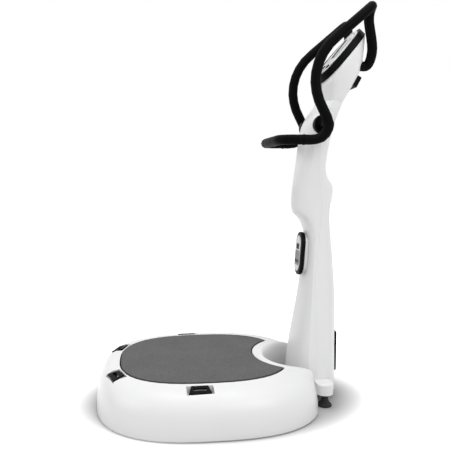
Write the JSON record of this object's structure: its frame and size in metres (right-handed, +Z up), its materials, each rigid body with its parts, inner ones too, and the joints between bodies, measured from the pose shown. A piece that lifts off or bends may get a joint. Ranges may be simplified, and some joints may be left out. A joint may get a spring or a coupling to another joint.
{
  "type": "vibration plate",
  "caption": "Standing vibration plate: rounded white base with a sprung grey mat, slim column, tilted console and a bent black handle on both sides.",
  "frame": {"origin": "centre of the bounding box, on the floor under the feet", "axes": "+Z up, +Y from the standing user towards the column, +X to that user's right"},
  "size_m": [0.8634, 1.049, 1.4872],
  "materials": {
    "white_gloss": "gloss",
    "black_plastic": "satin",
    "black_rubber": "matte",
    "grey_mat": "matte, fine grain",
    "painted_steel": "satin",
    "black_tube": "satin",
    "bare_steel": "turned",
    "motor_casting": "painted",
    "silver_face": "satin silver",
    "screen_glass": "gloss",
    "circuit_board": "satin"
  },
  "bodies": {
    "machine": {"base_foot_front_left": "black_rubber", "base_foot_front_right": "black_rubber", "base_foot_rear_left": "black_rubber", "base_foot_rear_right": "black_rubber", "base_frame": "painted_steel", "base_shell": "white_gloss", "column_front_shell": "white_gloss", "column_rear_shell": "white_gloss", "console_bezel": "black_plastic", "console_face": "silver_face", "console_housing": "white_gloss", "console_screen": "screen_glass", "control_board": "circuit_board", "foot_bar": "painted_steel", "foot_bar_cover": "white_gloss", "handle_bracket": "painted_steel", "handle_front": "black_tube", "handle_left": "black_tube", "handle_right": "black_tube", "handle_standoff_left": "bare_steel", "handle_standoff_right": "bare_steel", "head_service_cover": "black_plastic", "hub_cup_left": "black_plastic", "hub_cup_right": "black_plastic", "inlet_panel": "black_plastic", "isolator_front_left": "black_rubber", "isolator_front_right": "black_rubber", "isolator_rear_left": "black_rubber", "isolator_rear_right": "black_rubber", "mast": "painted_steel", "motor_conduit": "black_plastic", "motor_controller": "black_plastic", "power_socket": "black_plastic", "remote_bezel": "black_plastic", "remote_cradle": "white_gloss", "remote_face": "silver_face", "strap_anchor_front_left": "black_plastic", "strap_anchor_front_right": "black_plastic", "strap_anchor_side_left": "black_plastic", "strap_anchor_side_right": "black_plastic"},
    "platform": {"deck": "painted_steel", "mat": "grey_mat", "motor_housing_left": "motor_casting", "motor_housing_right": "motor_casting"},
    "rotor_left": {"motor_shaft_left": "bare_steel", "eccentric_weight_front_left": "motor_casting", "eccentric_weight_rear_left": "motor_casting"},
    "rotor_right": {"motor_shaft_right": "bare_steel", "eccentric_weight_front_right": "motor_casting", "eccentric_weight_rear_right": "motor_casting"},
    "console_button_1": {"console_button_1": "black_plastic"},
    "console_button_2": {"console_button_2": "black_plastic"},
    "console_button_3": {"console_button_3": "black_plastic"},
    "console_button_4": {"console_button_4": "black_plastic"},
    "remote_button_1": {"remote_button_1": "black_plastic"},
    "remote_button_2": {"remote_button_2": "black_plastic"},
    "remote_button_3": {"remote_button_3": "black_plastic"},
    "power_switch": {"power_switch": "black_plastic"},
    "levelling_foot_left": {"levelling_foot_left": "black_rubber"},
    "levelling_foot_right": {"levelling_foot_right": "black_rubber"}
  },
  "joints": [
    {"name": "platform_shake", "type": "slide", "parent": "machine", "child": "platform", "axis": [0, 0, 1], "range_m": [-0.003, 0.003], "stiffness_N_per_m": 400000, "springref_m": 0.0011, "deforming": ["isolator_front_left", "isolator_front_right", "isolator_rear_left", "isolator_rear_right"]},
    {"name": "rotor_right_spin", "type": "hinge", "parent": "platform", "child": "rotor_right", "pos_m": [0.11, -0.13, 0.084], "axis": [0, 1, 0], "continuous": true},
    {"name": "rotor_left_spin", "type": "hinge", "parent": "platform", "child": "rotor_left", "pos_m": [-0.11, -0.13, 0.084], "axis": [0, 1, 0], "continuous": true},
    {"name": "console_button_1_press", "type": "slide", "parent": "machine", "child": "console_button_1", "axis": [0, 0.7649, -0.6441], "range_m": [0, 0.0012], "stiffness_N_per_m": 600, "springref_m": -0.0006},
    {"name": "console_button_2_press", "type": "slide", "parent": "machine", "child": "console_button_2", "axis": [0, 0.7649, -0.6441], "range_m": [0, 0.0012], "stiffness_N_per_m": 600, "springref_m": -0.0006},
    {"name": "console_button_3_press", "type": "slide", "parent": "machine", "child": "console_button_3", "axis": [0, 0.7649, -0.6441], "range_m": [0, 0.0012], "stiffness_N_per_m": 600, "springref_m": -0.0006},
    {"name": "console_button_4_press", "type": "slide", "parent": "machine", "child": "console_button_4", "axis": [0, 0.7649, -0.6441], "range_m": [0, 0.0012], "stiffness_N_per_m": 600, "springref_m": -0.0006},
    {"name": "remote_button_1_press", "type": "slide", "parent": "machine", "child": "remote_button_1", "axis": [0, 0.9976, -0.0698], "range_m": [0, 0.001], "stiffness_N_per_m": 600, "springref_m": -0.0006},
    {"name": "remote_button_2_press", "type": "slide", "parent": "machine", "child": "remote_button_2", "axis": [0, 0.9976, -0.0698], "range_m": [0, 0.001], "stiffness_N_per_m": 600, "springref_m": -0.0006},
    {"name": "remote_button_3_press", "type": "slide", "parent": "machine", "child": "remote_button_3", "axis": [0, 0.9976, -0.0698], "range_m": [0, 0.001], "stiffness_N_per_m": 600, "springref_m": -0.0006},
    {"name": "power_switch_rock", "type": "hinge", "parent": "machine", "child": "power_switch", "pos_m": [0, 0.405, 0.204], "axis": [1, 0, 0], "range_deg": [-14, 0]},
    {"name": "levelling_foot_right_turn", "type": "hinge", "parent": "machine", "child": "levelling_foot_right", "pos_m": [0.178, 0.324, 0], "axis": [0, 0, 1], "continuous": true},
    {"name": "levelling_foot_left_turn", "type": "hinge", "parent": "machine", "child": "levelling_foot_left", "pos_m": [-0.178, 0.324, 0], "axis": [0, 0, 1], "continuous": true}
  ],
  "couplings": [
    {"joint": "rotor_left_spin", "follows": "rotor_right_spin", "ratio": -1}
  ]
}
